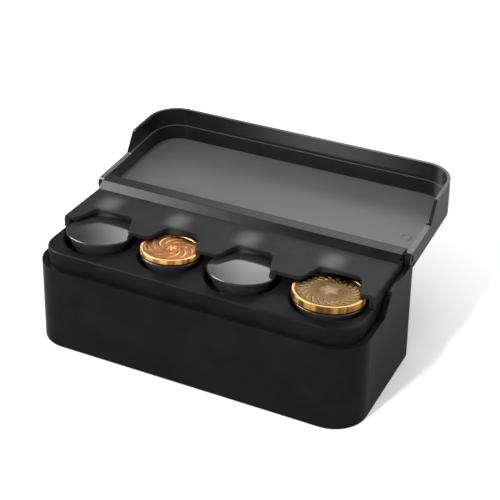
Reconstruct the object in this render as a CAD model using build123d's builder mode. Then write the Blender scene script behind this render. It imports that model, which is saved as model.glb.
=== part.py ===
"""Pocket coin holder: a flip-lid case with four spring-loaded coin tubes.

Frame: X along the case, Y towards the hinge, Z up, millimetres. The origin is the middle of the
face that the case rests on. The lid is drawn lying open behind the case, and the pushers are up
against the fingers of the retaining plate, with one token on the second and one on the fourth.
"""
import os
from math import cos, radians, sin, tan

from build123d import *

# ---------------------------------------------------------------- case
case_depth = 50.0
end_margin = 5.3
ledge_height = 30.8
ridge_rise = 7.0
front_corner_radius = 11.3
rear_corner_radius = 0.9
sharpest_corner = 0.3
case_wall = 2.0
draft_angle = 1.2
foot_edge_radius = 0.5
step_foot_y = -1.2
step_head_y = 4.2
step_corner_radius = 0.9

# ---------------------------------------------------------------- base
base_thickness = 2.7
base_clearance = 0.2
flange_width = 2.8
flange_thickness = 1.5
screw_pad_radius = 4.0
spigot_radius = 4.7
spigot_wall = 1.2
spigot_height = 3.0

# ---------------------------------------------------------------- screws
screw_radius = 1.2
screw_pilot_clearance = 0.05
screw_hole_clearance = 0.25
base_screw_head_radius = 2.1
base_screw_head_height = 1.1
base_screw_counterbore = 1.3
base_screw_length = 10.0
plate_screw_head_radius = 2.0
plate_screw_head_height = 1.2
plate_screw_tip_gap = 0.8
screw_slot_width = 0.5
screw_slot_depth = 0.5
screw_point = 0.5

# ---------------------------------------------------------------- coin deck and tubes
insert_clearance = 0.3
deck_rise = 5.5
deck_thickness = 1.8
deck_edge_radius = 0.9
insert_skirt_wall = 1.5
insert_skirt_depth = 11.0
tube_wall = 1.2
tube_front_inset = 18.6
tube_gaps = (4.6, 4.1, 6.3)
disc_radii = (11.7, 10.2, 11.8, 11.9)
bore_clearance = 0.4
mouth_flare = 0.8
boss_radius = 2.6
boss_hole_depth = 12.0
front_boss_inset = 6.2
rear_boss_inset = 6.5
rear_boss_end_inset = 7.5

# ---------------------------------------------------------------- retaining plate
slot_clearance = 0.95
plate_thickness = 1.4
plate_edge_radius = 0.4
shoulder_radius = 1.0
finger_tip_offset = 0.6
notch_back_offset = 9.9
notch_widths = (14.3, 11.7, 13.0, 14.4)
notch_flare = 3.0
notch_corner_radius = 2.0
finger_corner_radius = 2.2
end_wall = 2.0
rear_wall = 2.0
stop_wall = 1.2
stop_clearance = 0.4
stop_sweep = 140.0
post_radius = 2.6
post_wall_gap = 2.0
post_centres_x = (-46.0, -15.3, 15.3, 46.0)

# ---------------------------------------------------------------- hinge
knuckle_radius = 2.3
knuckle_rear_gap = 0.1
pin_radius = 1.25
pin_running_clearance = 0.05
pin_seat_clearance = 0.02
pin_length = 10.2
pin_end_gap = 0.3
bar_wall = 1.45
bar_top_width = 5.1
bar_chamfer_run = 3.1
bar_rear_inset = 0.6
bar_end_gap = 0.4
bar_gap = 0.1
peg_radius = 1.1
peg_length = 1.1
peg_clearance = 0.05
peg_centres_x = (-40.0, 0.0, 40.0)

# ---------------------------------------------------------------- lid
lid_open_angle = 176.3
lid_wall = 1.9
lid_rim_wall = 1.2
lid_rebate_rise = 1.4
lid_panel = 2.0
lid_bar_gap = 0.4
lid_gap = 0.2
lid_step_gap = 0.15
lid_open_gap = 0.3
lid_edge_radius = 0.9

# ---------------------------------------------------------------- pushers, springs and tokens
plate_touch_gap = 0.05
disc_thickness = 0.8
disc_edge_radius = 0.25
skirt_step = 0.5
skirt_taper = 1.9
skirt_taper_height = 4.6
pusher_height = 12.0
guide_height = 2.5
guide_clearance = 0.3
pusher_top = 1.6
pusher_bore_radius = 7.0
spring_wire_radius = 0.35
spring_radius = 5.7
spring_turns = 10
spring_end_gap = 0.02
small_token_radius = 10.2
small_token_thickness = 1.65
large_token_radius = 12.1
large_token_thickness = 2.35
token_rim_width = 0.9
token_rim_height = 0.15

# ---------------------------------------------------------------- worked-out places
bores = [radius + bore_clearance for radius in disc_radii]
tube_row = 2 * sum(bores) + sum(tube_gaps)
case_length = tube_row + 2 * end_margin
tube_centre_y = -case_depth / 2 + tube_front_inset
tube_centres_x = [
    -tube_row / 2 + 2 * sum(bores[:number]) + bores[number] + sum(tube_gaps[:number])
    for number in range(len(bores))
]
insert_inset = case_wall + insert_clearance
insert_half_length = case_length / 2 - insert_inset
rear_face_y = case_depth / 2
insert_rear_y = rear_face_y - insert_inset

flange_top = base_thickness + flange_thickness
deck_height = ledge_height + deck_rise
deck_underside = deck_height - deck_thickness
ridge_height = ledge_height + ridge_rise
slot_height = large_token_thickness + slot_clearance
plate_underside = deck_height + slot_height
plate_top = plate_underside + plate_thickness
plate_rear_y = insert_rear_y - rear_wall - bar_gap
finger_tip_y = tube_centre_y + finger_tip_offset
notch_back_y = tube_centre_y + notch_back_offset

hinge_y = rear_face_y - knuckle_radius - knuckle_rear_gap
hinge_height = ridge_height + lid_gap + knuckle_radius
hinge_axis = Axis((0, hinge_y, hinge_height), (1, 0, 0))
bar_height = hinge_height + pin_radius + bar_wall
bar_rear_y = rear_face_y - bar_rear_inset
bar_top_front_y = bar_rear_y - bar_top_width
bar_foot_y = bar_top_front_y - bar_chamfer_run
peg_y = bar_top_front_y - peg_radius
lid_panel_underside = bar_height + lid_bar_gap
lid_top_height = lid_panel_underside + lid_panel
lid_rebate_height = deck_height + lid_rebate_rise
lid_rear_y = 2 * hinge_y - rear_face_y - lid_open_gap


def middle_between(first):
    """X midway between the walls of two neighbouring tubes."""
    left = tube_centres_x[first] + bores[first]
    right = tube_centres_x[first + 1] - bores[first + 1]
    return (left + right) / 2


boss_places = [
    (middle_between(0), -case_depth / 2 + front_boss_inset),
    (middle_between(2), -case_depth / 2 + front_boss_inset),
    (-case_length / 2 + rear_boss_end_inset, rear_face_y - rear_boss_inset),
    (case_length / 2 - rear_boss_end_inset, rear_face_y - rear_boss_inset),
]
post_y = plate_rear_y - rear_wall - post_radius - post_wall_gap
post_places = [(x, post_y) for x in post_centres_x]
tube_places = [(x, tube_centre_y) for x in tube_centres_x]

os.makedirs("parts", exist_ok=True)


def write(piece, name):
    """Label a finished piece and write its STEP file."""
    piece.label = name
    export_step(piece, f"parts/{name}.step")


def case_outline(inset=0.0):
    """Plan outline of the case: large front corners, small rear ones, `inset` inside its face."""
    with BuildSketch() as outline:
        Rectangle(case_length - 2 * inset, case_depth - 2 * inset)
        front = outline.vertices().group_by(Axis.Y)[0]
        fillet(front, max(front_corner_radius - inset, sharpest_corner))
        rear = outline.vertices().group_by(Axis.Y)[-1]
        fillet(rear, max(rear_corner_radius - inset, sharpest_corner))
    return outline.sketch


def ring(outer_inset, inner_inset):
    """Plan ring between two insets of the case outline."""
    with BuildSketch() as band:
        add(case_outline(outer_inset))
        add(case_outline(inner_inset), mode=Mode.SUBTRACT)
    return band.sketch


def side_profile(points, rounded=(), radius=0.0):
    """Closed outline in the YZ plane, with the corners listed in `rounded` filleted."""
    with BuildSketch(Plane.YZ) as profile:
        with BuildLine():
            Polyline(*points, close=True)
        make_face()
        for y, z in rounded:
            fillet(profile.vertices().sort_by_distance((y, z, 0))[0], radius)
    return profile.sketch


# ---------------------------------------------------------------- outer case
bottom_flare = tan(radians(draft_angle)) * ledge_height
case_front = -case_depth
step_foot = (step_foot_y, ledge_height)
step_head = (step_head_y, ridge_height)

with BuildPart() as outer_case:
    with BuildSketch():
        add(case_outline(-bottom_flare))
    extrude(amount=ledge_height, taper=draft_angle)
    with BuildSketch(Plane.XY.offset(ledge_height)):
        add(case_outline())
    extrude(amount=ridge_height - ledge_height)
    add(
        extrude(
            side_profile(
                [
                    (case_front, ledge_height),
                    step_foot,
                    step_head,
                    (step_head_y, lid_top_height),
                    (case_front, lid_top_height),
                ],
                rounded=[step_foot, step_head],
                radius=step_corner_radius,
            ),
            amount=case_length,
            both=True,
            mode=Mode.PRIVATE,
        ),
        mode=Mode.SUBTRACT,
    )
    fillet(outer_case.faces().sort_by(Axis.Z)[0].edges(), foot_edge_radius)
    with BuildSketch():
        add(case_outline(case_wall))
    extrude(amount=ridge_height, mode=Mode.SUBTRACT)
    with BuildSketch(Plane.XY.offset(base_thickness)):
        add(ring(case_wall, case_wall + flange_width))
        with Locations(*boss_places):
            Circle(screw_pad_radius)
        add(case_outline(case_wall), mode=Mode.INTERSECT)
    extrude(amount=flange_thickness)
    with BuildSketch(Plane.XY.offset(base_thickness)):
        with Locations(*boss_places):
            Circle(screw_radius + screw_hole_clearance)
    extrude(amount=flange_thickness, mode=Mode.SUBTRACT)
write(outer_case.part, "outer_case")

# ---------------------------------------------------------------- base plate and its screws
with BuildPart() as base_plate:
    with BuildSketch():
        add(case_outline(case_wall + base_clearance))
    extrude(amount=base_thickness)
    with BuildSketch(Plane.XY.offset(base_thickness)):
        with Locations(*tube_places):
            Circle(spigot_radius)
            Circle(spigot_radius - spigot_wall, mode=Mode.SUBTRACT)
    extrude(amount=spigot_height)
    with BuildSketch():
        with Locations(*boss_places):
            Circle(screw_radius + screw_hole_clearance)
    extrude(amount=base_thickness, mode=Mode.SUBTRACT)
    with BuildSketch():
        with Locations(*boss_places):
            Circle(base_screw_head_radius + screw_hole_clearance)
    extrude(amount=base_screw_counterbore, mode=Mode.SUBTRACT)
write(base_plate.part, "base_plate")


def screws(places, seat, head_radius, head_height, length):
    """Group of pan-head screws pointing up, their heads seated against z = `seat`."""
    with BuildPart() as group:
        with BuildSketch(Plane.XY.offset(seat - head_height)):
            with Locations(*places):
                Circle(head_radius)
        extrude(amount=head_height)
        with BuildSketch(Plane.XY.offset(seat)):
            with Locations(*places):
                Circle(screw_radius)
        extrude(amount=length)
        tips = group.faces().sort_by(Axis.Z)[-len(places):]
        chamfer(tips.edges(), screw_point)
        with BuildSketch(Plane.XY.offset(seat - head_height)):
            with Locations(*places):
                Rectangle(4 * head_radius, screw_slot_width)
        extrude(amount=screw_slot_depth, mode=Mode.SUBTRACT)
    return group


base_screws = screws(
    boss_places,
    base_screw_counterbore,
    base_screw_head_radius,
    base_screw_head_height,
    base_screw_length,
)
write(base_screws.part, "base_screws")

# ---------------------------------------------------------------- coin deck with its tubes
with BuildPart() as coin_tubes:
    with BuildSketch(Plane.XY.offset(deck_underside)):
        add(case_outline(insert_inset))
    extrude(amount=deck_thickness)
    fillet(coin_tubes.faces().sort_by(Axis.Z)[-1].edges(), deck_edge_radius)
    with BuildSketch(Plane.XY.offset(deck_underside)):
        add(ring(insert_inset, insert_inset + insert_skirt_wall))
    extrude(amount=-insert_skirt_depth)
    with BuildSketch(Plane.XY.offset(flange_top)):
        for place, bore in zip(tube_places, bores):
            with Locations(place):
                Circle(bore + tube_wall)
        with Locations(*boss_places):
            Circle(boss_radius)
        add(case_outline(insert_inset), mode=Mode.INTERSECT)
    extrude(amount=deck_underside - flange_top)
    with BuildSketch(Plane.XY.offset(flange_top)):
        for place, bore in zip(tube_places, bores):
            with Locations(place):
                Circle(bore)
    extrude(amount=deck_height - flange_top, mode=Mode.SUBTRACT)
    for place, bore in zip(tube_places, bores):
        with BuildSketch(Plane.XY.offset(deck_height)):
            with Locations(place):
                Circle(bore + mouth_flare)
        extrude(amount=-mouth_flare, taper=45, mode=Mode.SUBTRACT)
    with BuildSketch(Plane.XY.offset(flange_top)):
        with Locations(*boss_places):
            Circle(screw_radius + screw_pilot_clearance)
    extrude(amount=boss_hole_depth, mode=Mode.SUBTRACT)
    with BuildSketch(Plane.XY.offset(deck_underside)):
        with Locations(*post_places):
            Circle(screw_radius + screw_hole_clearance)
    extrude(amount=deck_thickness, mode=Mode.SUBTRACT)
write(coin_tubes.part, "coin_tubes")


# ---------------------------------------------------------------- retaining plate and its screws
def notch(centre_x, width):
    """Plan of one thumb notch: a straight back, flared sides, rounded corners all round."""
    half = width / 2
    tip_half = half + notch_flare
    wide_half = tip_half + 2 * finger_corner_radius
    open_y = finger_tip_y - 2 * finger_corner_radius
    with BuildSketch() as cut:
        with BuildLine():
            Polyline(
                (-half, notch_back_y),
                (half, notch_back_y),
                (tip_half, finger_tip_y),
                (wide_half, finger_tip_y),
                (wide_half, open_y),
                (-wide_half, open_y),
                (-wide_half, finger_tip_y),
                (-tip_half, finger_tip_y),
                close=True,
            )
        make_face()
        fillet(cut.vertices().group_by(Axis.Y)[-1], notch_corner_radius)
        for side in (-tip_half, tip_half):
            fillet(cut.vertices().sort_by_distance((side, finger_tip_y, 0))[0], finger_corner_radius)
    return cut.sketch.moved(Location((centre_x, 0, 0)))


def plate_region(rear_y, ends=0.0):
    """Plan of the insert between the finger tips and `rear_y`, its ends moved in by `ends`."""
    with BuildSketch() as region:
        add(case_outline(insert_inset))
        with Locations((0, (finger_tip_y + rear_y) / 2)):
            Rectangle(2 * (insert_half_length - ends), rear_y - finger_tip_y, mode=Mode.INTERSECT)
    return region.sketch


def coin_stop(place, bore):
    """Plan of the half-round wall behind one tube, which keeps a coin from sliding back."""
    inner = bore + stop_clearance
    half_sweep = radians(stop_sweep / 2)
    reach = 3 * inner
    with BuildSketch() as wall:
        Circle(inner + stop_wall)
        Circle(inner, mode=Mode.SUBTRACT)
        with BuildLine():
            Polyline(
                (0, 0),
                (reach * sin(half_sweep), reach * cos(half_sweep)),
                (reach * sin(half_sweep), reach),
                (-reach * sin(half_sweep), reach),
                (-reach * sin(half_sweep), reach * cos(half_sweep)),
                close=True,
            )
        make_face(mode=Mode.INTERSECT)
    return wall.sketch.moved(Location((*place, 0)))


with BuildPart() as retaining_plate:
    with BuildSketch(Plane.XY.offset(plate_underside)):
        add(plate_region(plate_rear_y))
    extrude(amount=plate_thickness)
    shoulders = retaining_plate.edges().filter_by(Axis.Y).group_by(Axis.Z)[-1]
    fillet(shoulders, shoulder_radius)
    with BuildSketch(Plane.XY.offset(plate_underside)):
        for centre_x, width in zip(tube_centres_x, notch_widths):
            add(notch(centre_x, width))
    extrude(amount=plate_thickness, mode=Mode.SUBTRACT)
    rims = retaining_plate.edges().filter_by_position(Axis.Z, plate_top - 0.01, plate_top + 0.01)
    fillet(rims.filter_by_position(Axis.Y, -case_depth, notch_back_y + 0.01), plate_edge_radius)
    with BuildSketch(Plane.XY.offset(deck_height)):
        add(plate_region(plate_rear_y))
        add(plate_region(plate_rear_y - rear_wall, end_wall), mode=Mode.SUBTRACT)
        for place, bore in zip(tube_places, bores):
            add(coin_stop(place, bore))
        with Locations(*post_places):
            Circle(post_radius)
    extrude(amount=slot_height)
    with BuildSketch(Plane.XY.offset(deck_height)):
        with Locations(*post_places):
            Circle(screw_radius + screw_pilot_clearance)
    extrude(amount=slot_height, mode=Mode.SUBTRACT)
    with BuildSketch(Plane.XY.offset(plate_top - peg_length)):
        with Locations(*[(x, peg_y) for x in peg_centres_x]):
            Circle(peg_radius + peg_clearance)
    extrude(amount=peg_length, mode=Mode.SUBTRACT)
write(retaining_plate.part, "retaining_plate")

plate_screws = screws(
    post_places,
    deck_underside,
    plate_screw_head_radius,
    plate_screw_head_height,
    deck_thickness + slot_height - plate_screw_tip_gap,
)
write(plate_screws.part, "plate_screws")

# ---------------------------------------------------------------- hinge bar and pins
bar_half_length = insert_half_length - bar_end_gap

with BuildPart() as hinge_bar:
    with BuildSketch(Plane.YZ):
        with BuildLine():
            Polyline(
                (bar_foot_y, plate_top),
                (bar_top_front_y, bar_height),
                (bar_rear_y, bar_height),
                (bar_rear_y, ridge_height + lid_gap),
                (insert_rear_y, ridge_height + lid_gap),
                (insert_rear_y, deck_height),
                (plate_rear_y + bar_gap, deck_height),
                (plate_rear_y + bar_gap, plate_top),
                close=True,
            )
        make_face()
    extrude(amount=bar_half_length, both=True)
    crest = hinge_bar.edges().filter_by(Axis.X).group_by(Axis.Z)[-1]
    fillet(crest, plate_edge_radius)
    with BuildSketch(Plane.YZ.offset(-bar_half_length)):
        with Locations((hinge_y, hinge_height)):
            Circle(pin_radius + pin_seat_clearance)
    extrude(amount=pin_length, mode=Mode.SUBTRACT)
    with BuildSketch(Plane.YZ.offset(bar_half_length)):
        with Locations((hinge_y, hinge_height)):
            Circle(pin_radius + pin_seat_clearance)
    extrude(amount=-pin_length, mode=Mode.SUBTRACT)
    with BuildSketch(Plane.XY.offset(plate_top)):
        with Locations(*[(x, peg_y) for x in peg_centres_x]):
            Circle(peg_radius)
    extrude(amount=-peg_length)
write(hinge_bar.part, "hinge_bar")

pin_outer_x = case_length / 2 - pin_end_gap
for side, name in ((-1, "hinge_pin_left"), (1, "hinge_pin_right")):
    with BuildPart() as hinge_pin:
        with BuildSketch(Plane.YZ.offset(side * pin_outer_x)):
            with Locations((hinge_y, hinge_height)):
                Circle(pin_radius)
        extrude(amount=-side * pin_length)
        chamfer(hinge_pin.edges().filter_by(GeomType.CIRCLE), pin_end_gap)
    write(hinge_pin.part, name)

# ---------------------------------------------------------------- lid
lid_rim_z = ledge_height + lid_gap
lid_short_z = ridge_height + lid_gap
lid_step_foot = (step_foot_y - lid_step_gap, lid_rim_z)
lid_step_head = (step_head_y - lid_step_gap, lid_short_z)
knuckle_inner_x = case_length / 2 - lid_wall


def arm_profile():
    """Outline of a hinge arm in (y, z): the round knuckle and its neck into the lid's side."""
    neck_front_y = lid_rear_y - lid_wall
    with BuildSketch() as arm:
        with Locations((hinge_y, hinge_height)):
            Circle(knuckle_radius)
        with Locations((hinge_y, hinge_height)):
            Rectangle(
                hinge_y - neck_front_y,
                2 * knuckle_radius,
                align=(Align.MAX, Align.CENTER),
            )
    return arm.sketch


with BuildPart() as lid:
    with BuildSketch(Plane.XY.offset(lid_rim_z)):
        add(case_outline())
    extrude(amount=lid_top_height - lid_rim_z)
    fillet(lid.faces().sort_by(Axis.Z)[-1].edges(), lid_edge_radius)
    with BuildSketch(Plane.XY.offset(lid_rim_z)):
        add(case_outline(lid_rim_wall))
    extrude(amount=lid_rebate_height - lid_rim_z, mode=Mode.SUBTRACT)
    with BuildSketch(Plane.XY.offset(lid_rebate_height)):
        add(case_outline(lid_wall))
    extrude(amount=lid_panel_underside - lid_rebate_height, mode=Mode.SUBTRACT)
    add(
        extrude(
            side_profile(
                [
                    (-case_depth, lid_rim_z),
                    lid_step_foot,
                    lid_step_head,
                    (lid_rear_y, lid_short_z),
                    (lid_rear_y, lid_top_height),
                    (-case_depth, lid_top_height),
                ],
                rounded=[lid_step_foot, lid_step_head],
                radius=step_corner_radius,
            ),
            amount=case_length,
            both=True,
            mode=Mode.PRIVATE,
        ),
        mode=Mode.INTERSECT,
    )
    for side in (-1, 1):
        with BuildSketch(Plane.YZ.offset(side * knuckle_inner_x)):
            add(arm_profile())
        extrude(amount=side * lid_wall)
        with BuildSketch(Plane.YZ.offset(side * knuckle_inner_x)):
            with Locations((hinge_y, hinge_height)):
                Circle(pin_radius + pin_running_clearance)
        extrude(amount=side * lid_wall, mode=Mode.SUBTRACT)
write(lid.part.rotate(hinge_axis, -lid_open_angle), "lid")

# ---------------------------------------------------------------- pushers, springs and tokens
token_heights = (0.0, small_token_thickness, 0.0, large_token_thickness)
loaded_top = plate_underside - plate_touch_gap


def make_pusher(place, disc_radius, bore, top):
    """Cup-shaped follower: flat disc, tapering skirt below it, and a guide band at the foot."""
    waist_radius = disc_radius - skirt_step - skirt_taper
    guide_radius = bore - guide_clearance
    foot = top - pusher_height
    with BuildPart() as pusher:
        with BuildSketch(Plane.XZ):
            with BuildLine():
                Line((0, top), (disc_radius, top))
                Line((disc_radius, top), (disc_radius, top - disc_thickness))
                Line((disc_radius, top - disc_thickness), (disc_radius - skirt_step, top - disc_thickness))
                ThreePointArc(
                    (disc_radius - skirt_step, top - disc_thickness),
                    (
                        disc_radius - skirt_step - skirt_taper * 0.28,
                        top - disc_thickness - skirt_taper_height * 0.55,
                    ),
                    (waist_radius, top - disc_thickness - skirt_taper_height),
                )
                Polyline(
                    (waist_radius, top - disc_thickness - skirt_taper_height),
                    (waist_radius, foot + guide_height),
                    (guide_radius, foot + guide_height),
                    (guide_radius, foot),
                    (pusher_bore_radius, foot),
                    (pusher_bore_radius, top - pusher_top),
                    (0, top - pusher_top),
                    (0, top),
                )
            make_face()
        revolve(axis=Axis.Z)
        fillet(pusher.faces().sort_by(Axis.Z)[-1].edges(), disc_edge_radius)
    return pusher.part.moved(Location((*place, 0)))


def make_spring(place, top):
    """Compression spring between the base plate and the underside of a pusher."""
    foot = base_thickness + spring_wire_radius + spring_end_gap
    head = top - pusher_top - spring_wire_radius - spring_end_gap
    with BuildPart() as spring:
        with BuildLine():
            coil = Helix(pitch=(head - foot) / spring_turns, height=head - foot, radius=spring_radius)
        with BuildSketch(Plane(coil @ 0, z_dir=coil % 0)):
            Circle(spring_wire_radius)
        sweep(path=coil, is_frenet=True)
    return spring.part.moved(Location((*place, foot)))


def make_token(place, radius, thickness):
    """Plain token with a raised rim on both faces, held just under the retaining plate."""
    with BuildPart() as token:
        with BuildSketch(Plane.XY.offset(loaded_top - thickness)):
            Circle(radius)
        extrude(amount=thickness)
        with BuildSketch(Plane.XY.offset(loaded_top)):
            Circle(radius - token_rim_width)
        extrude(amount=-token_rim_height, mode=Mode.SUBTRACT)
        with BuildSketch(Plane.XY.offset(loaded_top - thickness)):
            Circle(radius - token_rim_width)
        extrude(amount=token_rim_height, mode=Mode.SUBTRACT)
    return token.part.moved(Location((*place, 0)))


for number, place in enumerate(tube_places):
    top = loaded_top - token_heights[number]
    pusher = make_pusher(place, disc_radii[number], bores[number], top)
    write(pusher, f"pusher_{number + 1}")
    write(make_spring(place, top), f"spring_{number + 1}")

write(make_token(tube_places[1], small_token_radius, small_token_thickness), "token_small")
write(make_token(tube_places[3], large_token_radius, large_token_thickness), "token_large")
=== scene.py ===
"""Looks of the spring-loaded coin holder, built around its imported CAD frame. Metres, +Z up."""
import math

import bpy
import numpy as np
from mathutils import Matrix, Vector


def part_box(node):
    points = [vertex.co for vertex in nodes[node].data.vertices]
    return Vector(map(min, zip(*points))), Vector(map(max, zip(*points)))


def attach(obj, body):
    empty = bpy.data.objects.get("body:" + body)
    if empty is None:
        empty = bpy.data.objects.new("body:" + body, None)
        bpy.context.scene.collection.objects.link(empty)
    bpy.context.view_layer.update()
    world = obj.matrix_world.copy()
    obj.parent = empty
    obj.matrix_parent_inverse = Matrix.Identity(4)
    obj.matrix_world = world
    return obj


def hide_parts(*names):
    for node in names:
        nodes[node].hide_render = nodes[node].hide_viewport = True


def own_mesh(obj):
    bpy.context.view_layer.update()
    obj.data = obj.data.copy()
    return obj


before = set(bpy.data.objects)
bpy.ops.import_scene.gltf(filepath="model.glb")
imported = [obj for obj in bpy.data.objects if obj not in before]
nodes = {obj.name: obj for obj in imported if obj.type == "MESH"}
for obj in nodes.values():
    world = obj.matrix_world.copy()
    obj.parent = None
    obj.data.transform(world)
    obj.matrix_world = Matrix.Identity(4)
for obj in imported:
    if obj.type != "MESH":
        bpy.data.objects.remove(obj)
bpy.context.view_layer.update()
MM = 0.001
MICRON = 0.000001
TUBES = (1, 2, 3, 4)


def centre_of(name):
    low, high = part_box(name)
    return (low + high) / 2


# ---------------------------------------------------------------- materials
CLOUD_SCALE = 90.0
POLISH_SCALE = 420.0
PEEL_SCALE = 260.0
GRAIN_SCALE = 5200.0
PEEL_DEPTH = 2 * MICRON


class Look:
    """A procedural material: one Principled shader and the nodes that feed it."""

    def __init__(self, name, **sockets):
        self.material = bpy.data.materials.new(name)
        self.material.use_nodes = True
        self.tree = self.material.node_tree
        self.shader = self.tree.nodes["Principled BSDF"]
        for socket, value in sockets.items():
            self.shader.inputs[socket.replace("_", " ")].default_value = value
        self.place = self.add("ShaderNodeTexCoord").outputs["Object"]

    def add(self, kind, **settings):
        node = self.tree.nodes.new(kind)
        for name, value in settings.items():
            setattr(node, name, value)
        return node

    def link(self, source, target):
        self.tree.links.new(source, target)

    def stretched(self, scale):
        """Object coordinates scaled per axis, for grain that runs one way."""
        node = self.add("ShaderNodeMapping")
        node.inputs["Scale"].default_value = scale
        self.link(self.place, node.inputs["Vector"])
        return node.outputs["Vector"]

    def noise(self, scale, detail=2.0, roughness=0.5, vector=None):
        node = self.add("ShaderNodeTexNoise")
        node.inputs["Scale"].default_value = scale
        node.inputs["Detail"].default_value = detail
        node.inputs["Roughness"].default_value = roughness
        self.link(vector or self.place, node.inputs["Vector"])
        return node.outputs["Fac"]

    def span(self, source, low, high, start=0.3, end=0.7, smooth=True):
        """Maps start..end of a value to low..high."""
        node = self.add("ShaderNodeMapRange")
        node.interpolation_type = "SMOOTHSTEP" if smooth else "LINEAR"
        node.inputs["From Min"].default_value = start
        node.inputs["From Max"].default_value = end
        node.inputs["To Min"].default_value = low
        node.inputs["To Max"].default_value = high
        self.link(source, node.inputs["Value"])
        return node.outputs["Result"]

    def mixed(self, factor, first, second):
        """Colour between two colours or two sockets."""
        node = self.add("ShaderNodeMix", data_type="RGBA")
        self.link(factor, node.inputs["Factor"])
        for socket, value in ((node.inputs[6], first), (node.inputs[7], second)):
            if isinstance(value, tuple):
                socket.default_value = (*value, 1)
            else:
                self.link(value, socket)
        return node.outputs[2]

    def blended(self, factor, first, second):
        """Number between two sockets or plain values."""
        node = self.add("ShaderNodeMix", data_type="FLOAT")
        self.link(factor, node.inputs["Factor"])
        for socket, value in ((node.inputs[2], first), (node.inputs[3], second)):
            if isinstance(value, float):
                socket.default_value = value
            else:
                self.link(value, socket)
        return node.outputs[0]

    def facing(self, axis):
        """Cosine between the surface and an axis of the object's own frame: 1 is square on."""
        turned = self.add("ShaderNodeVectorTransform", vector_type="NORMAL")
        turned.convert_from = "WORLD"
        turned.convert_to = "OBJECT"
        self.link(self.add("ShaderNodeNewGeometry").outputs["True Normal"], turned.inputs[0])
        dot = self.add("ShaderNodeVectorMath", operation="DOT_PRODUCT")
        dot.inputs[1].default_value = axis
        self.link(turned.outputs[0], dot.inputs[0])
        return dot.outputs["Value"]

    def math(self, operation, first, second=0.0):
        node = self.add("ShaderNodeMath", operation=operation)
        for socket, value in zip(node.inputs, (first, second)):
            if isinstance(value, (int, float)):
                socket.default_value = value
            else:
                self.link(value, socket)
        return node.outputs[0]

    def product(self, first, *others):
        for other in others:
            first = self.math("MULTIPLY", first, other)
        return first

    def distance(self, source, place):
        """How far a coordinate is from a place on its axis."""
        return self.math("ABSOLUTE", self.math("SUBTRACT", source, place))

    def coordinates(self):
        """The three object coordinates as sockets."""
        parts = self.add("ShaderNodeSeparateXYZ")
        self.link(self.place, parts.inputs[0])
        return parts.outputs

    def clouded(self, tones):
        """Colour that drifts between two tones in soft clouds."""
        return self.mixed(self.span(self.noise(CLOUD_SCALE, 3.0), 0.0, 1.0), *tones)

    def polished(self, roughness):
        """Roughness that varies between two values in small patches."""
        return self.span(self.noise(POLISH_SCALE, 4.0, 0.6), *roughness)

    def peel(self):
        """Height of the slow orange peel of a moulded surface."""
        return self.noise(PEEL_SCALE, 2.0)

    def grain(self):
        """Height of the fine spark-eroded grain of a mould."""
        return self.noise(GRAIN_SCALE, 3.0, 0.65)

    def feed(self, socket, source):
        self.link(source, self.shader.inputs[socket])

    def bump(self, *layers):
        """Stacks bump nodes, each layer = (height socket, depth in metres)."""
        normal = None
        for height, depth in layers:
            node = self.add("ShaderNodeBump")
            node.inputs["Strength"].default_value = 1.0
            node.inputs["Distance"].default_value = depth
            self.link(height, node.inputs["Height"])
            if normal:
                self.link(normal, node.inputs["Normal"])
            normal = node.outputs["Normal"]
        self.link(normal, self.shader.inputs["Normal"])


def moulded(name, tones, roughness, specular, grain=0.0, tint=None):
    """Injection-moulded plastic: cloudy tone, uneven polish, orange peel, spark-eroded grain.

    `grain` is the depth of the grain; `tint` changes the cloudy colour further.
    """
    look = Look(name, Specular_IOR_Level=specular)
    colour = look.clouded(tones)
    look.feed("Base Color", tint(look, colour) if tint else colour)
    look.feed("Roughness", look.polished(roughness))
    layers = [(look.peel(), PEEL_DEPTH)]
    if grain:
        layers.append((look.grain(), grain))
    look.bump(*layers)
    return look.material


CASE_TONES = ((0.0055, 0.0055, 0.006), (0.0075, 0.0075, 0.008))
GLOSS_TONES = ((0.006, 0.006, 0.0065), (0.009, 0.009, 0.0095))
# The panel tones are paler as painted light: they stand for the soft light falling on the lid's upward
# faces.
PANEL_PAINTED_LIGHT_TONES = ((0.068, 0.068, 0.068), (0.076, 0.076, 0.076))
PLATE_TONES = ((0.012, 0.012, 0.0125), (0.016, 0.016, 0.0165))
PUSHER_TONES = ((0.020, 0.020, 0.021), (0.027, 0.027, 0.028))
BASE_TONES = ((0.010, 0.010, 0.0105), (0.015, 0.015, 0.0155))

LID_SPECULAR = 0.36
PANEL_NORMAL = (0.0, -0.0645, 0.9979)
SKIRT_HEIGHT = 46.5 * MM
SKIRT_FADE = 1.0 * MM
# Painted sheen on the lid's skirt: a paler base colour that stands for a reflection, brightest near its
# middle.
SKIRT_PAINTED_SHEEN_TONE = (0.05, 0.05, 0.05)
SKIRT_PAINTED_SHEEN_X = 10.0 * MM
SKIRT_PAINTED_SHEEN_CORE = 2.0 * MM
SKIRT_PAINTED_SHEEN_WIDTH = 46.0 * MM
EJECTOR_X = 52.3 * MM
EJECTOR_Y = 38.4 * MM
EJECTOR_RADIUS = 1.75 * MM
EJECTOR_LINE = 0.3 * MM
EJECTOR_DEPTH = 120 * MICRON


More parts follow.
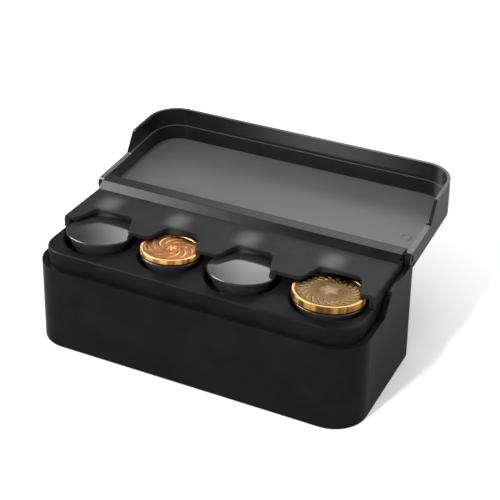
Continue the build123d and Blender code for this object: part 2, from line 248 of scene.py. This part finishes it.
def lid_gloss():
    """Gloss all round and a satin panel inside with an ejector mark. Painted light: the panel's upward
    faces get a paler base colour, and the skirt gets a painted sheen that stands for a reflection.
    """
    look = Look("lid_gloss", Specular_IOR_Level=LID_SPECULAR)
    x, y, z = look.coordinates()
    skirt = look.span(z, 0.0, 1.0, SKIRT_HEIGHT, SKIRT_HEIGHT + SKIRT_FADE)
    upward = look.span(look.facing(PANEL_NORMAL), 0.0, 1.0, 0.93, 0.995)
    panel = look.blended(skirt, upward, 0.0)
    # Painted sheen: the skirt's inner back wall gets a paler base colour that stands for a reflection,
    # fading towards both ends.
    middle = look.span(look.distance(x, SKIRT_PAINTED_SHEEN_X), 1.0, 0.0, SKIRT_PAINTED_SHEEN_CORE, SKIRT_PAINTED_SHEEN_WIDTH)
    inner_back = look.span(look.facing((0.0, -1.0, 0.0)), 0.0, 1.0, 0.8, 0.95)
    sheen = look.product(skirt, middle, inner_back)
    satin = look.span(look.noise(900.0, 3.0), 0.3, 0.36)
    look.feed("Roughness", look.blended(panel, look.polished((0.1, 0.15)), satin))
    dark = look.mixed(sheen, look.clouded(GLOSS_TONES), SKIRT_PAINTED_SHEEN_TONE)
    # Painted light: faces on the panel that turn upward get the paler panel tones.
    look.feed("Base Color", look.mixed(panel, dark, look.clouded(PANEL_PAINTED_LIGHT_TONES)))
    from_mark = look.math(
        "SQRT",
        look.math(
            "ADD",
            look.math("POWER", look.distance(x, EJECTOR_X), 2.0),
            look.math("POWER", look.distance(y, EJECTOR_Y), 2.0),
        ),
    )
    line = look.span(look.distance(from_mark, EJECTOR_RADIUS), 1.0, 0.0, 0.0, EJECTOR_LINE)
    mark = look.product(panel, line)
    look.bump((look.peel(), PEEL_DEPTH), (look.grain(), 2 * MICRON), (mark, EJECTOR_DEPTH))
    return look.material


# Pale patches behind the notches of the retaining plate: painted highlights in its base colour.
NOTCH_HIGHLIGHT_WIDTH = 6.5 * MM
NOTCH_HIGHLIGHT_SHIFT = -5.0 * MM
NOTCH_HIGHLIGHT_FRONT = (8.0 * MM, 12.0 * MM)
NOTCH_HIGHLIGHT_REAR = (15.0 * MM, 21.5 * MM)
NOTCH_HIGHLIGHT_TINT = (0.085, 0.085, 0.087)


def painted_notch_highlight(look, colour):
    """Painted highlight: a pale patch behind each notch that stands for light reflected there."""
    x, y, _ = look.coordinates()
    nearest = None
    for number in TUBES:
        offset = look.distance(x, centre_of(f"pusher_{number}").x + NOTCH_HIGHLIGHT_SHIFT)
        near = look.span(look.math("DIVIDE", offset, NOTCH_HIGHLIGHT_WIDTH), 1.0, 0.0, 0.0, 1.0)
        nearest = near if nearest is None else look.math("MAXIMUM", nearest, near)
    plate_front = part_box("retaining_plate")[0].y
    begun = look.span(y, 0.0, 1.0, *(plate_front + edge for edge in NOTCH_HIGHLIGHT_FRONT))
    ended = look.span(y, 1.0, 0.0, *(plate_front + edge for edge in NOTCH_HIGHLIGHT_REAR))
    return look.mixed(look.product(nearest, begun, ended), colour, NOTCH_HIGHLIGHT_TINT)


def metal(name, tones, roughness, run):
    """Bare metal, drawn or turned: its marks are noise scaled per axis by `run`."""
    look = Look(name, Metallic=1.0)
    stain = look.noise(260.0, 4.0, 0.6)
    look.feed("Base Color", look.mixed(look.span(stain, 0.0, 1.0), *tones))
    draw = look.noise(1.0, 4.0, 0.7, look.stretched(run))
    look.feed("Roughness", look.span(draw, *roughness))
    look.bump((draw, 4 * MICRON))
    return look.material


# The token edge carries painted reflections: bright and dark bands in its base colour, on a half-metal edge
# so that matt light brightens them.
EDGE_METAL = 0.35
PAINTED_BAND_RUN = (260.0, 260.0, 1.0)
SCRATCH_RUN = (2600.0, 340.0, 900.0)
HOLLOW_ROUGHNESS = 0.34


def token_metal(name, fresh, worn, shadow, bright):
    """Struck metal: bright high spots, darker and duller in the hollows, and painted reflections as bright
    and dark bands round the edge.
    """
    look = Look(name, Metallic=1.0)
    height = look.add("ShaderNodeAttribute", attribute_name="relief").outputs["Fac"]
    blotch = look.span(look.noise(330.0, 4.0, 0.62), 0.0, 1.0)
    hollow = look.span(height, 0.0, 0.75, 0.55, 0.1)
    crest = look.span(height, 0.0, 1.0, 0.8, 0.99)
    struck = look.mixed(hollow, look.mixed(blotch, fresh, worn), shadow)
    # Painted reflection: bright and dark bands round the edge, in the base colour.
    bands = look.span(look.noise(1.0, 2.0, 0.5, look.stretched(PAINTED_BAND_RUN)), 0.0, 1.0, 0.42, 0.6)
    edge = look.span(look.facing((0.0, 0.0, 1.0)), 1.0, 0.0, 0.3, 0.7)
    face_colour = look.mixed(crest, struck, bright)
    look.feed("Base Color", look.mixed(edge, face_colour, look.mixed(bands, bright, shadow)))
    look.feed("Metallic", look.blended(edge, 1.0, EDGE_METAL))
    smear = look.span(look.noise(700.0, 4.0, 0.7), 0.14, 0.26)
    look.feed("Roughness", look.blended(hollow, smear, HOLLOW_ROUGHNESS))
    scratches = look.noise(1.0, 3.0, 0.8, look.stretched(SCRATCH_RUN))
    look.bump((look.noise(1600.0, 3.0, 0.6), 3 * MICRON), (scratches, 2 * MICRON))
    return look.material


def dress(name, material):
    """Gives a CAD node its finished material on every slot."""
    mesh = nodes[name].data
    mesh.materials.clear()
    mesh.materials.append(material)


# ---------------------------------------------------------------- meshes
def new_piece(name, vertices, faces, material):
    """A smooth-shaded mesh object in the scene."""
    mesh = bpy.data.meshes.new(name)
    mesh.from_pydata([tuple(map(float, v)) for v in vertices], [], faces)
    mesh.validate()
    mesh.polygons.foreach_set("use_smooth", [True] * len(mesh.polygons))
    mesh.materials.append(material)
    piece = bpy.data.objects.new(name, mesh)
    bpy.context.scene.collection.objects.link(piece)
    return piece


def grid_faces(rows, columns):
    """Quads between closed rings of points, ring after ring."""
    faces = []
    for row in range(rows - 1):
        for column in range(columns):
            after = (column + 1) % columns
            low = row * columns
            faces.append((low + column, low + after, low + columns + after, low + columns + column))
    return faces


def end_caps(rows, columns):
    """Faces that close the first and the last ring of such a grid."""
    last = (rows - 1) * columns
    return [tuple(range(columns)), tuple(reversed(range(last, last + columns)))]


def arc(centre, radius, start, end, steps):
    """Points of an arc in the (radius, height) plane, angles in degrees."""
    points = []
    for step in range(steps + 1):
        angle = math.radians(start + (end - start) * step / steps)
        points.append((centre[0] + radius * math.cos(angle), centre[1] + radius * math.sin(angle)))
    return points


def around(sides):
    """Evenly spaced angles of a full turn."""
    return np.linspace(0, 2 * math.pi, sides, endpoint=False)


def ring_points(place, turn, rings):
    """Points of (radius, heights) rings about the vertical line through `place`."""
    across = np.cos(turn)
    along = np.sin(turn)
    return np.concatenate(
        [
            np.stack([place.x + radius * across, place.y + radius * along, heights], axis=1)
            for radius, heights in rings
        ]
    )


def lathe(name, place, profile, material, sides=144):
    """Turns (radius, height) points about the vertical line through `place`."""
    turn = around(sides)
    rings = [(radius, np.full(sides, height)) for radius, height in profile]
    return new_piece(name, ring_points(place, turn, rings), grid_faces(len(profile), sides), material)


# ---------------------------------------------------------------- pushers
PUSHER_LEAN = 5.5
PUSHER_CROWN = 0.7 * MM
CROWN_STEPS = 24
DISC_THICKNESS = 0.95 * MM
DISC_EDGE = 0.34 * MM
EDGE_STEPS = 6
SKIRT_STEP = 0.5 * MM
SKIRT_LIP = 0.1 * MM
SKIRT_TAPER = 1.9 * MM
SKIRT_TAPER_HEIGHT = 4.6 * MM
WAIST_BREAK = 0.05 * MM
GUIDE_HEIGHT = 2.5 * MM
GUIDE_REACH = 0.1 * MM
GUIDE_FLARE = 0.3 * MM
GUIDE_BEVEL = 0.2 * MM
PUSHER_BORE = 7.0 * MM
PUSHER_TOP = 1.6 * MM
BORE_MARGIN = 0.1 * MM
AXIS_RADIUS = 0.0001 * MM
PUSHER_SHARP = 35.0


def add_pusher(number, material):
    """Spring-loaded pusher: crowned polished disc over a tapered skirt with a guide ring."""
    node = f"pusher_{number}"
    low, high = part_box(node)
    top = high.z
    foot = low.z
    guide = (high.x - low.x) / 2
    radius = guide - GUIDE_REACH
    flat = radius - DISC_EDGE
    lower = top - PUSHER_CROWN - DISC_THICKNESS
    shoulder = radius - SKIRT_STEP
    waist = shoulder - SKIRT_TAPER
    taper_end = lower - SKIRT_TAPER_HEIGHT
    guide_top = foot + GUIDE_HEIGHT
    crown_radius = (radius**2 + PUSHER_CROWN**2) / (2 * PUSHER_CROWN)
    profile = [(AXIS_RADIUS, top)]
    for step in range(1, CROWN_STEPS + 1):
        reach = flat * step / CROWN_STEPS
        profile.append((reach, top - crown_radius + math.sqrt(crown_radius**2 - reach**2)))
    crown_end = profile[-1][1]
    profile += arc((flat, crown_end - DISC_EDGE), DISC_EDGE, 80, 0, EDGE_STEPS)
    profile += arc((flat, lower + DISC_EDGE), DISC_EDGE, 0, -90, EDGE_STEPS)
    profile += [
        (shoulder, lower),
        (shoulder, lower - SKIRT_LIP),
        (waist + WAIST_BREAK, taper_end),
        (waist, taper_end - SKIRT_LIP),
        (waist, guide_top + GUIDE_FLARE),
        (waist + GUIDE_FLARE, guide_top),
        (guide - GUIDE_BEVEL, guide_top),
        (guide, guide_top - GUIDE_BEVEL),
        (guide, foot + GUIDE_BEVEL),
        (guide - GUIDE_BEVEL, foot),
        (PUSHER_BORE + GUIDE_BEVEL, foot),
        (PUSHER_BORE, foot + GUIDE_BEVEL),
        (PUSHER_BORE, top - PUSHER_TOP),
        (AXIS_RADIUS, top - PUSHER_TOP),
    ]
    piece = lathe(f"pusher_{number}_turned", centre_of(node), profile, material)
    lean_pusher(piece, top - lower + SKIRT_LIP, top - taper_end)
    mark_sharp(piece, PUSHER_SHARP)
    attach(piece, f"follower_{number}")
    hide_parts(node)


def lean_back(piece, shares):
    """Leans each vertex, by its share, about the finger tips: the front edge rises."""
    finger_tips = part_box("retaining_plate")[0].y
    slope = math.tan(math.radians(PUSHER_LEAN))
    for vertex, share in zip(piece.data.vertices, shares):
        vertex.co.z += share * slope * (finger_tips - vertex.co.y)


def lean_pusher(piece, disc_depth, skirt_depth):
    """Leans the disc against the finger tips, less and less down the skirt; the bore stays level."""
    spots = np.array([vertex.co for vertex in piece.data.vertices])
    middle = (spots.min(axis=0) + spots.max(axis=0)) / 2
    depth = spots[:, 2].max() - spots[:, 2]
    reach = np.hypot(spots[:, 0] - middle[0], spots[:, 1] - middle[1])
    shares = np.clip((skirt_depth - depth) / (skirt_depth - disc_depth), 0.0, 1.0)
    bore = (reach < PUSHER_BORE + BORE_MARGIN) & (depth > PUSHER_TOP - BORE_MARGIN)
    shares[bore] = 0.0
    lean_back(piece, shares)


def mark_sharp(piece, angle):
    """Keeps edges steeper than `angle` degrees crisp under smooth shading."""
    piece.data.set_sharp_from_angle(angle=math.radians(angle))


# ---------------------------------------------------------------- springs
WIRE_RADIUS = 0.35 * MM
WIRE_SIDES = 12
COIL_STEPS = 56
SPRING_TURNS = 8.5
CLOSED_TURNS = 0.9
SPRING_SHARP = 50.0


def coil_rise(turns, total, height):
    """Height of the wire after some turns: closed coils at both ends, even open ones between."""
    pitch = 2 * WIRE_RADIUS
    if turns < CLOSED_TURNS:
        return pitch * turns
    if turns > total - CLOSED_TURNS:
        return height - pitch * (total - turns)
    share = (turns - CLOSED_TURNS) / SPRING_TURNS
    return pitch * CLOSED_TURNS + share * (height - 2 * pitch * CLOSED_TURNS)


def add_spring(number, material):
    """Compression spring with closed ends, drawn at one length and fixed to the case."""
    node = f"spring_{number}"
    low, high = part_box(node)
    middle = centre_of(node)
    length = high.z - low.z
    radius = (high.x - low.x) / 2 - WIRE_RADIUS
    total = SPRING_TURNS + 2 * CLOSED_TURNS
    steps = int(total * COIL_STEPS)
    points = []
    for step in range(steps + 1):
        turns = total * step / steps
        angle = 2 * math.pi * turns
        height = low.z + WIRE_RADIUS + coil_rise(turns, total, length - 2 * WIRE_RADIUS)
        points.append(Vector((radius * math.cos(angle), radius * math.sin(angle), height)))
    vertices = []
    for index, point in enumerate(points):
        along = (points[min(index + 1, steps)] - points[max(index - 1, 0)]).normalized()
        outward = Vector((point.x, point.y, 0)).normalized()
        upward = along.cross(outward).normalized()
        for turn in around(WIRE_SIDES):
            spot = point + WIRE_RADIUS * (math.cos(turn) * outward + math.sin(turn) * upward)
            vertices.append((spot.x + middle.x, spot.y + middle.y, spot.z))
    faces = grid_faces(steps + 1, WIRE_SIDES) + end_caps(steps + 1, WIRE_SIDES)
    piece = new_piece(f"spring_{number}_coil", vertices, faces, material)
    mark_sharp(piece, SPRING_SHARP)
    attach(piece, "case")
    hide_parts(node)
    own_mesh(piece)


# ---------------------------------------------------------------- tokens
TOKEN_SIDES = 720
TOKEN_RINGS = 150
TOKEN_CENTRE = 0.004
TOKEN_CORNER = 0.16 * MM
CORNER_ANGLES = (70, 50, 30, 12)
EDGE_LEVELS = (0.0, 0.5, 1.0)


def smooth_step(low, high, value):
    share = np.clip((value - low) / (high - low), 0, 1)
    return share * share * (3 - 2 * share)


def between(rise, fall, value):
    """1 between two soft edges, each given as (start, end)."""
    return smooth_step(*rise, value) * (1 - smooth_step(*fall, value))


def thin_ring(share, at, width):
    """1 on a fine ring, falling away on both sides of it."""
    return np.exp(-(((share - at) / width) ** 2))


def star(reach, turn, points, outer, inner):
    """1 inside a faceted star, falling from its ridges to its edge."""
    half = math.pi / points
    folded = np.abs((turn + half) % (2 * half) - half)
    x = reach * np.cos(folded)
    y = reach * np.sin(folded)
    tip = np.array([outer, 0.0])
    notch = np.array([inner * math.cos(half), inner * math.sin(half)])
    edge = notch - tip
    normal = np.array([edge[1], -edge[0]]) / np.hypot(*edge)
    inside = -((x - tip[0]) * normal[0] + (y - tip[1]) * normal[1])
    facet_width = 0.22 * outer
    return np.clip(inside / facet_width, 0, 1)


def leaves(reach, turn, count, ring, length, width, lean):
    """Height of a ring of pointed leaves with a midrib, leaning one way."""
    sector = 2 * math.pi / count
    height = np.zeros_like(reach)
    for side in (-1, 1):
        outward = reach - ring - side * 0.28 * length
        sideways = ((turn + side * 0.25 * sector + sector / 2) % sector - sector / 2) * ring
        along = outward * math.cos(lean) + sideways * math.sin(lean)
        across = sideways * math.cos(lean) - outward * math.sin(lean)
        outline = np.clip(1 - (2 * along / length) ** 2 - (2 * across / width) ** 2, 0, 1)
        midrib = 0.75 + 0.25 * np.clip(np.abs(across) / (0.12 * width), 0, 1)
        height = np.maximum(height, np.sqrt(outline) * midrib)
    return height


def gold_relief(share, turn):
    """Rim, beads, wreath and a five-pointed star on a field of rays; share is radius 0..1."""
    rim = smooth_step(0.905, 0.93, share)
    beads = 0.55 * thin_ring(share, 0.87, 0.017) * (0.5 + 0.5 * np.cos(72 * turn)) ** 0.7
    wreath = 0.8 * leaves(share, turn, count=22, ring=0.7, length=0.2, width=0.085, lean=0.65)
    emblem = 0.34 * star(share, turn + 0.35, points=5, outer=0.42, inner=0.2)
    rays = 0.26 * (0.5 + 0.5 * np.cos(60 * turn)) * between((0.2, 0.3), (0.5, 0.56), share)
    ring = 0.35 * thin_ring(share, 0.565, 0.012)
    return np.maximum.reduce([rim, beads, wreath, emblem, rays, ring])


def copper_relief(share, turn):
    """Rim, a swirl of petals and a rosette; share is radius 0..1."""
    swirl = turn + 2.6 * share
    rosette_edge = 0.2 + 0.05 * np.cos(6 * turn)
    rim = smooth_step(0.9, 0.93, share)
    inner = 0.4 * thin_ring(share, 0.86, 0.014)
    petals = 0.75 * np.clip(np.cos(9 * swirl), 0, 1) ** 0.8 * between((0.3, 0.42), (0.72, 0.82), share)
    veins = 0.12 * np.cos(54 * swirl) * between((0.35, 0.5), (0.7, 0.8), share)
    rosette = 0.8 * np.sqrt(np.clip(1 - (share / rosette_edge) ** 2, 0, 1))
    ring = 0.4 * thin_ring(share, 0.29, 0.014)
    return np.maximum.reduce([rim, inner, petals + veins, rosette, ring])


def add_token(node, body, relief, relief_depth, material):
    """Struck token: relief on both faces and a plain rounded edge, leaning with its pusher."""
    low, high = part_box(node)
    middle = centre_of(node)
    radius = (high.x - low.x) / 2
    flat = radius - TOKEN_CORNER
    turn = around(TOKEN_SIDES)
    whole = np.ones(TOKEN_SIDES)
    top_face = []
    bottom_face = []
    for share in np.linspace(TOKEN_CENTRE, 1.0, TOKEN_RINGS):
        height = np.clip(relief(whole * share * flat / radius, turn), 0, 1)
        sunk = relief_depth * (1 - height)
        top_face.append((share * flat, high.z - sunk, height))
        bottom_face.append((share * flat, low.z + sunk, height))
    top_corner = []
    bottom_corner = []
    for angle in CORNER_ANGLES:
        bend = math.radians(angle)
        reach = flat + TOKEN_CORNER * math.cos(bend)
        inset = TOKEN_CORNER * (1 - math.sin(bend))
        top_corner.append((reach, whole * (high.z - inset), whole))
        bottom_corner.append((reach, whole * (low.z + inset), whole))
    wall_height = high.z - low.z - 2 * TOKEN_CORNER
    wall = [(radius, whole * (high.z - TOKEN_CORNER - share * wall_height), whole) for share in EDGE_LEVELS]
    rings = top_face + top_corner + wall + bottom_corner[::-1] + bottom_face[::-1]
    vertices = ring_points(middle, turn, [ring[:2] for ring in rings])
    faces = grid_faces(len(rings), TOKEN_SIDES) + end_caps(len(rings), TOKEN_SIDES)
    piece = new_piece(f"{node}_struck", vertices, faces, material)
    lean_back(piece, np.ones(len(vertices)))
    layer = piece.data.attributes.new("relief", "FLOAT", "POINT")
    layer.data.foreach_set("value", np.concatenate([height for _, _, height in rings]).astype(np.float32))
    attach(piece, body)
    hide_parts(node)


# ---------------------------------------------------------------- every piece and its look
SCREW_TONES = ((0.30, 0.30, 0.31), (0.42, 0.42, 0.43))
PIN_TONES = ((0.10, 0.10, 0.105), (0.16, 0.16, 0.165))
SPRING_TONES = ((0.42, 0.42, 0.44), (0.56, 0.56, 0.57))
GOLD_TONES = ((0.22, 0.13, 0.03), (0.15, 0.085, 0.018), (0.09, 0.046, 0.009), (0.50, 0.24, 0.05))
COPPER_TONES = ((0.56, 0.25, 0.06), (0.40, 0.15, 0.03), (0.22, 0.07, 0.012), (0.85, 0.46, 0.15))
COPPER_RELIEF_DEPTH = 0.16 * MM
GOLD_RELIEF_DEPTH = 0.2 * MM

looks = {
    "case_gloss": moulded("case_gloss", CASE_TONES, (0.13, 0.19), 0.07),
    "lid_gloss": lid_gloss(),
    "deck_gloss": moulded("deck_gloss", GLOSS_TONES, (0.3, 0.38), 0.04),
    "bar_gloss": moulded("bar_gloss", GLOSS_TONES, (0.12, 0.18), 0.13),
    "pusher_gloss": moulded("pusher_gloss", PUSHER_TONES, (0.1, 0.15), 0.6),
    "plate_satin": moulded("plate_satin", PLATE_TONES, (0.38, 0.46), 0.06, 3 * MICRON, painted_notch_highlight),
    "base_satin": moulded("base_satin", BASE_TONES, (0.4, 0.52), 0.4, 6 * MICRON),
    "screw_steel": metal("screw_steel", SCREW_TONES, (0.28, 0.42), (900.0, 900.0, 200.0)),
    "pin_steel": metal("pin_steel", PIN_TONES, (0.22, 0.36), (120.0, 2400.0, 2400.0)),
    "spring_steel": metal("spring_steel", SPRING_TONES, (0.2, 0.36), (1500.0, 1500.0, 300.0)),
    "token_gold": token_metal("token_gold", *GOLD_TONES),
    "token_copper": token_metal("token_copper", *COPPER_TONES),
}
FINISHES = {
    "outer_case": "case_gloss",
    "base_plate": "base_satin",
    "base_screws": "screw_steel",
    "coin_tubes": "deck_gloss",
    "retaining_plate": "plate_satin",
    "plate_screws": "screw_steel",
    "hinge_bar": "bar_gloss",
    "hinge_pin_left": "pin_steel",
    "hinge_pin_right": "pin_steel",
    "lid": "lid_gloss",
}
for node_name, finish in FINISHES.items():
    dress(node_name, looks[finish])
for tube in TUBES:
    add_pusher(tube, looks["pusher_gloss"])
    add_spring(tube, looks["spring_steel"])
add_token(
    "token_small", "follower_2", copper_relief, COPPER_RELIEF_DEPTH, looks["token_copper"]
)
add_token("token_large", "follower_4", gold_relief, GOLD_RELIEF_DEPTH, looks["token_gold"])

# ---------------------------------------------------------------- camera
CAMERA_AZIMUTH = 25.2
CAMERA_ELEVATION = 30.8
CAMERA_ROLL = 1.1
CAMERA_DISTANCE = 413.0 * MM
CAMERA_TARGET = Vector((11.2, 0.0, 42.4)) * MM
CAMERA_LENS = 90.0
SENSOR_WIDTH = 36.0
CLIP_START = 10.0 * MM


def toward(azimuth, elevation):
    """Unit vector at an azimuth from the front (-Y), turning to +X, and an elevation."""
    azimuth = math.radians(azimuth)
    elevation = math.radians(elevation)
    return Vector(
        (
            math.sin(azimuth) * math.cos(elevation),
            -math.cos(azimuth) * math.cos(elevation),
            math.sin(elevation),
        )
    )


def add_camera():
    """Camera at the photo's viewing angle, rolled a little as the photo is."""
    back = toward(CAMERA_AZIMUTH, CAMERA_ELEVATION)
    roll = math.radians(CAMERA_ROLL)
    right = (-back).cross(Vector((0, 0, 1))).normalized()
    up = back.cross(right)
    rolled_right = right * math.cos(roll) + up * math.sin(roll)
    rolled_up = up * math.cos(roll) - right * math.sin(roll)
    data = bpy.data.cameras.new("camera")
    data.lens = CAMERA_LENS
    data.sensor_width = SENSOR_WIDTH
    data.clip_start = CLIP_START
    camera = bpy.data.objects.new("camera", data)
    turn = Matrix((rolled_right, rolled_up, back)).transposed().to_4x4()
    camera.matrix_world = Matrix.Translation(CAMERA_TARGET + back * CAMERA_DISTANCE) @ turn
    bpy.context.scene.collection.objects.link(camera)
    bpy.context.scene.camera = camera


# ---------------------------------------------------------------- light and floor
LIGHT_DISTANCE = 1.5
FLOOR_HALF = 8.0
FLOOR_TONES = ((0.925, 0.925, 0.925), (0.935, 0.935, 0.935))
FLOOR_IN_GLOSS = (0.28, 0.28, 0.28)
FILL_LEVEL = 1.2
BASE_GLOW = 0.1
HORIZON_LEVEL = 0.5
BACK_LEVEL = 2.8
LEFT_LEVEL = 25.0
LEFT_DIRECTION = (-0.72, -0.1, 0.68)


def add_area_light(name, azimuth, elevation, size, power, glossy, diffuse):
    """Soft area light aimed at the object from `azimuth` and `elevation`."""
    data = bpy.data.lights.new(name, "AREA")
    data.shape = "RECTANGLE"
    data.size, data.size_y = size
    data.energy = power
    lamp = bpy.data.objects.new(name, data)
    back = toward(azimuth, elevation)
    lamp.location = back * LIGHT_DISTANCE
    lamp.rotation_euler = back.to_track_quat("Z", "Y").to_euler()
    lamp.visible_glossy = glossy
    lamp.visible_diffuse = diffuse
    lamp.visible_camera = False
    bpy.context.scene.collection.objects.link(lamp)


def add_floor():
    """Pale floor, drawn darker in reflections so that the gloss stays black."""
    mesh = bpy.data.meshes.new("floor")
    corners = [(-1, -1, 0), (1, -1, 0), (1, 1, 0), (-1, 1, 0)]
    mesh.from_pydata([Vector(corner) * FLOOR_HALF for corner in corners], [], [(0, 1, 2, 3)])
    floor = bpy.data.objects.new("floor", mesh)
    bpy.context.scene.collection.objects.link(floor)
    look = Look("floor", Specular_IOR_Level=0.0, Roughness=1.0)
    pale = look.mixed(look.span(look.noise(3.0, 2.0), 0.0, 1.0), *FLOOR_TONES)
    reflected = look.add("ShaderNodeLightPath").outputs["Is Glossy Ray"]
    look.feed("Base Color", look.mixed(reflected, pale, FLOOR_IN_GLOSS))
    mesh.materials.append(look.material)


class Studio:
    """World: even fill for matt surfaces, and soft panels that only gloss picks up."""

    def __init__(self, fill, base):
        self.world = bpy.data.worlds.new("studio")
        bpy.context.scene.world = self.world
        self.world.use_nodes = True
        self.world.cycles.sampling_method = "NONE"
        self.tree = self.world.node_tree
        self.ray = self.tree.nodes["Background"]
        self.ray.inputs["Color"].default_value = (1, 1, 1, 1)
        self.direction = self.tree.nodes.new("ShaderNodeTexCoord").outputs["Generated"]
        parts = self.tree.nodes.new("ShaderNodeSeparateXYZ")
        self.tree.links.new(self.direction, parts.inputs[0])
        self.x, self.y, self.z = parts.outputs
        self.fill = fill
        self.glow = base

    def math(self, operation, first, second=0.0):
        node = self.tree.nodes.new("ShaderNodeMath")
        node.operation = operation
        for socket, value in zip(node.inputs, (first, second)):
            if isinstance(value, (int, float)):
                socket.default_value = value
            else:
                self.tree.links.new(value, socket)
        return node.outputs[0]

    def ramp(self, source, start, end):
        """0 at `start`, 1 at `end`, with soft ends."""
        node = self.tree.nodes.new("ShaderNodeMapRange")
        node.interpolation_type = "SMOOTHSTEP"
        node.inputs["From Min"].default_value = start
        node.inputs["From Max"].default_value = end
        self.tree.links.new(source, node.inputs["Value"])
        return node.outputs["Result"]

    def add(self, *factors, level):
        """Adds a panel: the product of its soft-edged factors, times its level."""
        glow = level
        for factor in factors:
            glow = self.math("MULTIPLY", factor, glow)
        self.glow = self.math("ADD", self.glow, glow)

    def degrees(self, angle):
        return self.math("MULTIPLY", angle, 180 / math.pi)

    def elevation(self):
        """Degrees above the horizon."""
        return self.degrees(self.math("ARCSINE", self.z))

    def side(self):
        """Azimuth in degrees from the back (+Y), turning to the left (-X)."""
        return self.degrees(self.math("ARCTAN2", self.math("MULTIPLY", self.x, -1.0), self.y))

    def around(self, direction, outer, inner):
        """1 within `inner` degrees of a direction, fading to 0 at `outer`."""
        node = self.tree.nodes.new("ShaderNodeVectorMath")
        node.operation = "DOT_PRODUCT"
        node.inputs[1].default_value = Vector(direction).normalized()
        self.tree.links.new(self.direction, node.inputs[0])
        outer_cosine, inner_cosine = (math.cos(math.radians(angle)) for angle in (outer, inner))
        return self.ramp(node.outputs["Value"], outer_cosine, inner_cosine)

    def finish(self):
        """White to the camera, the panels to gloss, and the even fill to everything else."""
        path = self.tree.nodes.new("ShaderNodeLightPath")
        glossy = path.outputs["Is Glossy Ray"]
        plain = self.math("MULTIPLY", self.math("SUBTRACT", 1.0, glossy), self.fill)
        seen = self.math("MULTIPLY", glossy, self.glow)
        total = self.math("ADD", plain, seen)
        backdrop = self.math("MAXIMUM", path.outputs["Is Camera Ray"], total)
        self.tree.links.new(backdrop, self.ray.inputs["Strength"])


def light_studio():
    """Studio panels and two lamps: a key that only matt surfaces see, a strip that only gloss sees."""
    studio = Studio(FILL_LEVEL, BASE_GLOW)
    elevation = studio.elevation()
    side = studio.side()
    studio.add(studio.ramp(elevation, 9.0, 1.0), level=HORIZON_LEVEL)
    studio.add(
        studio.ramp(side, 37.0, 19.0),
        studio.ramp(side, -100.0, -60.0),
        studio.ramp(elevation, 5.0, 14.0),
        studio.ramp(elevation, 58.0, 44.0),
        level=BACK_LEVEL,
    )
    studio.add(studio.around(LEFT_DIRECTION, 26.0, 12.0), level=LEFT_LEVEL)
    studio.finish()
    add_area_light("key", -13.0, 36.0, (0.12, 0.12), 17.0, glossy=False, diffuse=True)
    add_area_light("strip", -21.5, 30.0, (0.06, 0.9), 2.4, glossy=True, diffuse=False)


add_camera()
add_floor()
light_studio()
bpy.context.scene.view_settings.view_transform = "Standard"
